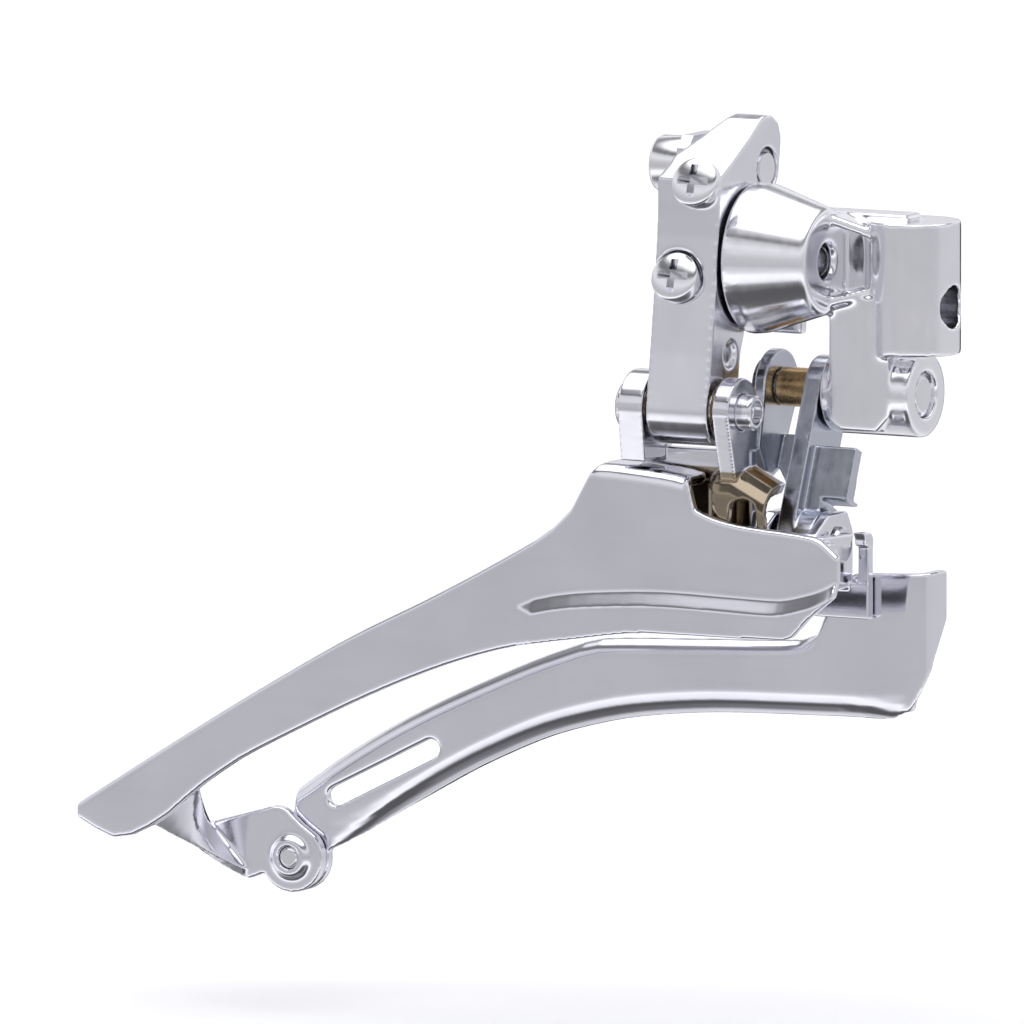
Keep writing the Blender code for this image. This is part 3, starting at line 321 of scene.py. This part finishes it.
for node in BUSHES:
    soften(node, 0.1, 2, BRONZE)
for node in ("outer_link_pin_clip", "inner_link_pin_clip"):
    soften(node, 0.08, 2, CLIP_STEEL)

# Return spring. A few coils of round spring wire inside the barrel, on a nylon sleeve: one leg sits in the
# bracket, the other in the outer link, so the coils wind up as the cage swings out.


def wire(name, path, radius, finish, sides=14):
    """A round wire along a path of points."""
    points = []
    faces = []
    for i, here in enumerate(path):
        ahead = (path[min(i + 1, len(path) - 1)] - path[max(i - 1, 0)]).normalized()
        out = Vector((0, here.y - pivot_y, here.z - pivot_z)).normalized()
        side = (out - ahead * out.dot(ahead)).normalized()
        other = ahead.cross(side)
        for k in range(sides):
            turn = 2 * math.pi * k / sides
            points.append(here + (side * math.cos(turn) + other * math.sin(turn)) * radius)
        if i:
            for k in range(sides):
                n = (k + 1) % sides
                faces.append(((i - 1) * sides + k, (i - 1) * sides + n, i * sides + n, i * sides + k))
    faces.append(tuple(reversed(range(sides))))
    faces.append(tuple(range(len(points) - sides, len(points))))
    return place_piece(name, points, faces, finish, None)


NYLON = bpy.data.materials.new("black_nylon")
NYLON.use_nodes = True
nylon_shader = NYLON.node_tree.nodes["Principled BSDF"]
nylon_shader.inputs["Base Color"].default_value = (0.03, 0.03, 0.035, 1.0)
nylon_rough = NYLON.node_tree.nodes.new("ShaderNodeMapRange")
nylon_rough.inputs["To Min"].default_value = 0.35
nylon_rough.inputs["To Max"].default_value = 0.6
NYLON.node_tree.links.new(line_noise(NYLON.node_tree, 1500.0, 3.0), nylon_rough.inputs["Value"])
NYLON.node_tree.links.new(nylon_rough.outputs["Result"], nylon_shader.inputs["Roughness"])
soften("spring_washer", 0.1, 2, NYLON)
spring_low, spring_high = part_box("return_spring")
pivot_y, pivot_z = joints["outer_link_swing"]["pos_m"][1:]
WIRE_R = 0.62 * MM
COIL_R = 4.2 * MM
COIL_TURNS = 3.6
LEG = 1.95 * MM
FRONT_LEG = 1.4 * MM
coil_back = spring_low.x + LEG + 0.1 * MM + WIRE_R
coil_front = spring_high.x - FRONT_LEG - WIRE_R
coil = [Vector((spring_low.x, pivot_y - COIL_R, pivot_z))]
coil_steps = 48
for step in range(int(COIL_TURNS * coil_steps) + 1):
    share = step / (COIL_TURNS * coil_steps)
    angle = math.pi - 2 * math.pi * step / coil_steps
    coil.append(Vector((coil_back + (coil_front - coil_back) * share, pivot_y + COIL_R * math.cos(angle),
                        pivot_z + COIL_R * math.sin(angle))))
end_angle = math.atan2(coil[-1].z - pivot_z, coil[-1].y - pivot_y)
for step in range(1, 13):
    angle = end_angle * (1 - step / 12)
    coil.append(Vector((coil_front, pivot_y + COIL_R * math.cos(angle),
                        pivot_z + COIL_R * math.sin(angle))))
coil.append(Vector((spring_high.x, pivot_y + COIL_R, pivot_z)))
spring = wire("return_spring_coils", coil, WIRE_R, CLIP_STEEL)
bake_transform(spring)
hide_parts("return_spring")

# Inner link. A bent steel link with two walls on the upper pin, a web behind them and a rolled eye on the
# lower pin; plated, and a little duller than the cage.
PRESSED = metal("pressed_link_steel", dark=(0.50, 0.52, 0.58), light=(0.60, 0.62, 0.68), rough=0.20,
                rough_spread=0.05, grain=1200.0, stretch=(1.0, 1.0, 0.25), depth=0.02)
soften("inner_link", 0.14, 10, PRESSED)

# Cage brackets. Thick pressed brackets welded inside the cage: one stands its two ears up to the outer
# link's lower pin, the other holds the inner link's lower pin and ties the two plates together.
BRACKET_STEEL = metal("bracket_steel", dark=(0.70, 0.70, 0.75), light=(0.80, 0.80, 0.84), rough=0.14,
                      rough_spread=0.04, grain=900.0, stretch=(0.5, 1.0, 1.0), depth=0.02)
CAGE_STEEL = metal("nickel_plated_steel", dark=(0.76, 0.76, 0.82), light=(0.82, 0.82, 0.87), rough=0.12,
                   rough_spread=0.03, grain=700.0, stretch=(0.12, 1.0, 1.0), depth=0.02)
# the hump's colour is painted shade: a dark brownish tone put on the bracket where its inside lies in shadow
HUMP_NEAR = -10.9 * MM
HUMP_TOP = -17.9 * MM
HUMP_FADE = 0.3 * MM
HUMP_PAINTED_SHADE = (0.30, 0.25, 0.18, 1.0)


def paint_shade_on_hump(tree):
    """Paints shade on the bracket's hump, which is all of it that lies outboard of and below two planes: a
    dark brownish painted shade is mixed into the steel's colour there.
    """
    shader = tree.nodes["Principled BSDF"]
    steel_colour = shader.inputs["Base Color"].links[0].from_socket
    place = tree.nodes.new("ShaderNodeTexCoord")
    split = tree.nodes.new("ShaderNodeSeparateXYZ")
    tree.links.new(place.outputs["Object"], split.inputs["Vector"])
    limits = []
    for axis, edge in (("Y", HUMP_NEAR), ("Z", HUMP_TOP)):
        limit = tree.nodes.new("ShaderNodeMapRange")
        limit.interpolation_type = "SMOOTHSTEP"
        limit.inputs["From Min"].default_value = edge - HUMP_FADE
        limit.inputs["From Max"].default_value = edge
        limit.inputs["To Min"].default_value = 1.0
        limit.inputs["To Max"].default_value = 0.0
        tree.links.new(split.outputs[axis], limit.inputs["Value"])
        limits.append(limit)
    both = tree.nodes.new("ShaderNodeMath")
    both.operation = "MULTIPLY"
    tree.links.new(limits[0].outputs["Result"], both.inputs[0])
    tree.links.new(limits[1].outputs["Result"], both.inputs[1])
    shaded_colour = tree.nodes.new("ShaderNodeMix")
    shaded_colour.data_type = "RGBA"
    shaded_colour.inputs["B"].default_value = HUMP_PAINTED_SHADE
    tree.links.new(both.outputs["Value"], shaded_colour.inputs["Factor"])
    tree.links.new(steel_colour, shaded_colour.inputs["A"])
    tree.links.new(shaded_colour.outputs["Result"], shader.inputs["Base Color"])


# paints a dark brownish shade onto the bracket's hump
paint_shade_on_hump(BRACKET_STEEL.node_tree)
soften("cage_link_bracket", 0.11, 18, BRACKET_STEEL)
soften("cage_pivot_bracket", 0.13, 10, CAGE_STEEL)

# Cage plates and tail screw. Two plates of pressed steel sheet, nickel plated and polished.
soften("cage_outer_plate", 0.18, 9, CAGE_STEEL)
soften("cage_inner_plate", 0.18, 9, CAGE_STEEL)
soften("cage_tail_screw", 0.1, 2, CHROMED)

# Studio. A pale floor under the part, a soft white room round it that only reflections and light see, and a
# long lens. The room is brightest overhead and has a dark card behind the part, which draws its outlines.
part_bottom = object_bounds()[0][2]
FLOOR_R = 12.0
FLOOR_BELOW = 0.012
ROOM_R = 6.0
ROOM_STRENGTH = 1.25
CARD_TOWARDS = (-0.47, 0.88, -0.04)
CARD_GREY = (0.02, 0.02, 0.025, 1.0)
# each band is a height from -1 at the room's bottom to 1 at its top, and the brightness there
NEAR_BANDS = [(-1.0, 0.22), (-0.95, 0.10), (-0.7, 0.09), (-0.6, 0.22), (-0.5, 0.92), (-0.36, 1.0),
              (-0.24, 0.60), (-0.12, 0.43), (0.0, 0.46), (0.15, 0.52), (0.34, 0.72), (0.48, 0.60),
              (0.56, 0.14), (0.66, 0.20), (0.74, 0.95), (0.8, 1.5), (1.0, 1.6)]
FAR_BANDS = [(-1.0, 0.22), (-0.9, 0.5), (-0.6, 0.75), (-0.3, 0.62), (-0.1, 0.52), (0.1, 0.60), (0.4, 0.8),
             (0.5, 0.3), (0.65, 0.25), (0.75, 1.0), (0.8, 1.5), (1.0, 1.6)]

bpy.ops.mesh.primitive_circle_add(vertices=96, radius=FLOOR_R, fill_type="NGON",
                                  location=(0, 0, part_bottom - FLOOR_BELOW))
floor = bpy.context.object
floor.name = "floor"
FLOOR_PAINT = bpy.data.materials.new("pale_floor")
FLOOR_PAINT.use_nodes = True
floor_shader = FLOOR_PAINT.node_tree.nodes["Principled BSDF"]
floor_shader.inputs["Base Color"].default_value = (0.93, 0.93, 0.93, 1.0)
floor_shader.inputs["Roughness"].default_value = 0.9
paint(floor, FLOOR_PAINT)
floor.visible_glossy = False


def bands(tree, stops):
    """A ramp of slightly cool greys from (height, brightness) stops."""
    ramp = tree.nodes.new("ShaderNodeValToRGB")
    elements = ramp.color_ramp.elements
    while len(elements) > 1:
        elements.remove(elements[-1])
    for number, (height, bright) in enumerate(stops):
        element = elements[0] if number == 0 else elements.new((height + 1) / 2)
        element.position = (height + 1) / 2
        element.color = (bright, bright, bright * 1.04, 1.0)
    return ramp


def soft_step(tree, source, start, end):
    """A smooth step from 0 at start to 1 at end."""
    step = tree.nodes.new("ShaderNodeMapRange")
    step.interpolation_type = "SMOOTHSTEP"
    step.inputs["From Min"].default_value = start
    step.inputs["From Max"].default_value = end
    tree.links.new(source, step.inputs["Value"])
    return step.outputs["Result"]


def blend_colours(tree, share, first, second):
    """Mixes two colours, of which the second may be a fixed one."""
    mix = tree.nodes.new("ShaderNodeMix")
    mix.data_type = "RGBA"
    tree.links.new(share, mix.inputs["Factor"])
    tree.links.new(first, mix.inputs["A"])
    if isinstance(second, tuple):
        mix.inputs["B"].default_value = second
    else:
        tree.links.new(second, mix.inputs["B"])
    return mix.outputs["Result"]


def room_light():
    """The room's glow: bands by height, others on the far side, and the dark card behind the part."""
    glowing = bpy.data.materials.new("room_light")
    glowing.use_nodes = True
    tree = glowing.node_tree
    tree.nodes.clear()
    out = tree.nodes.new("ShaderNodeOutputMaterial")
    glow = tree.nodes.new("ShaderNodeEmission")
    place = tree.nodes.new("ShaderNodeTexCoord")
    unit = tree.nodes.new("ShaderNodeVectorMath")
    unit.operation = "NORMALIZE"
    split = tree.nodes.new("ShaderNodeSeparateXYZ")
    tree.links.new(place.outputs["Object"], unit.inputs[0])
    tree.links.new(unit.outputs["Vector"], split.inputs["Vector"])
    lift = tree.nodes.new("ShaderNodeMapRange")
    lift.inputs["From Min"].default_value = -1.0
    lift.inputs["From Max"].default_value = 1.0
    tree.links.new(split.outputs["Z"], lift.inputs["Value"])
    near = bands(tree, NEAR_BANDS)
    far = bands(tree, FAR_BANDS)
    for ramp in (near, far):
        tree.links.new(lift.outputs["Result"], ramp.inputs["Fac"])
    behind = soft_step(tree, split.outputs["Y"], -0.25, 0.25)
    walls = blend_colours(tree, behind, near.outputs["Color"], far.outputs["Color"])
    card = tree.nodes.new("ShaderNodeVectorMath")
    card.operation = "DOT_PRODUCT"
    card.inputs[1].default_value = CARD_TOWARDS
    tree.links.new(unit.outputs["Vector"], card.inputs[0])
    low_card = tree.nodes.new("ShaderNodeMath")
    low_card.operation = "MULTIPLY"
    tree.links.new(soft_step(tree, card.outputs["Value"], 0.80, 0.90), low_card.inputs[0])
    tree.links.new(soft_step(tree, split.outputs["Z"], 0.07, 0.0), low_card.inputs[1])
    carded = blend_colours(tree, low_card.outputs["Value"], walls, CARD_GREY)
    tree.links.new(carded, glow.inputs["Color"])
    glow.inputs["Strength"].default_value = ROOM_STRENGTH
    tree.links.new(glow.outputs["Emission"], out.inputs["Surface"])
    return glowing


bpy.ops.mesh.primitive_uv_sphere_add(segments=64, ring_count=48, radius=ROOM_R, location=(0, 0, 0))
room = bpy.context.object
room.name = "room"
room.visible_camera = False
paint(room, room_light())

air = bpy.data.worlds.new("pale_air")
bpy.context.scene.world = air
air.use_nodes = True
air.node_tree.nodes["Background"].inputs["Color"].default_value = (0.95, 0.95, 0.96, 1.0)
air.node_tree.nodes["Background"].inputs["Strength"].default_value = 1.0

# Camera. A long lens, so that the part is seen almost without perspective.
VIEW_AZIMUTH = math.radians(28.0)
VIEW_RISE = math.radians(7.0)
VIEW_FAR = 2.6
VIEW_WIDE = 0.1138
aim = Vector((-0.0422, -0.0255, -0.0226))
level = math.cos(VIEW_RISE)
toward = Vector((math.sin(VIEW_AZIMUTH) * level, -math.cos(VIEW_AZIMUTH) * level, math.sin(VIEW_RISE)))
SENSOR_MM = 36.0
camera_data = bpy.data.cameras.new("camera")
camera_data.sensor_width = SENSOR_MM
camera_data.lens = SENSOR_MM * VIEW_FAR / VIEW_WIDE
camera = bpy.data.objects.new("camera", camera_data)
bpy.context.scene.collection.objects.link(camera)
camera.location = aim + toward * VIEW_FAR
camera.rotation_euler = (-toward).to_track_quat("-Z", "Y").to_euler()
bpy.context.scene.camera = camera
bpy.context.scene.view_settings.view_transform = "Standard"
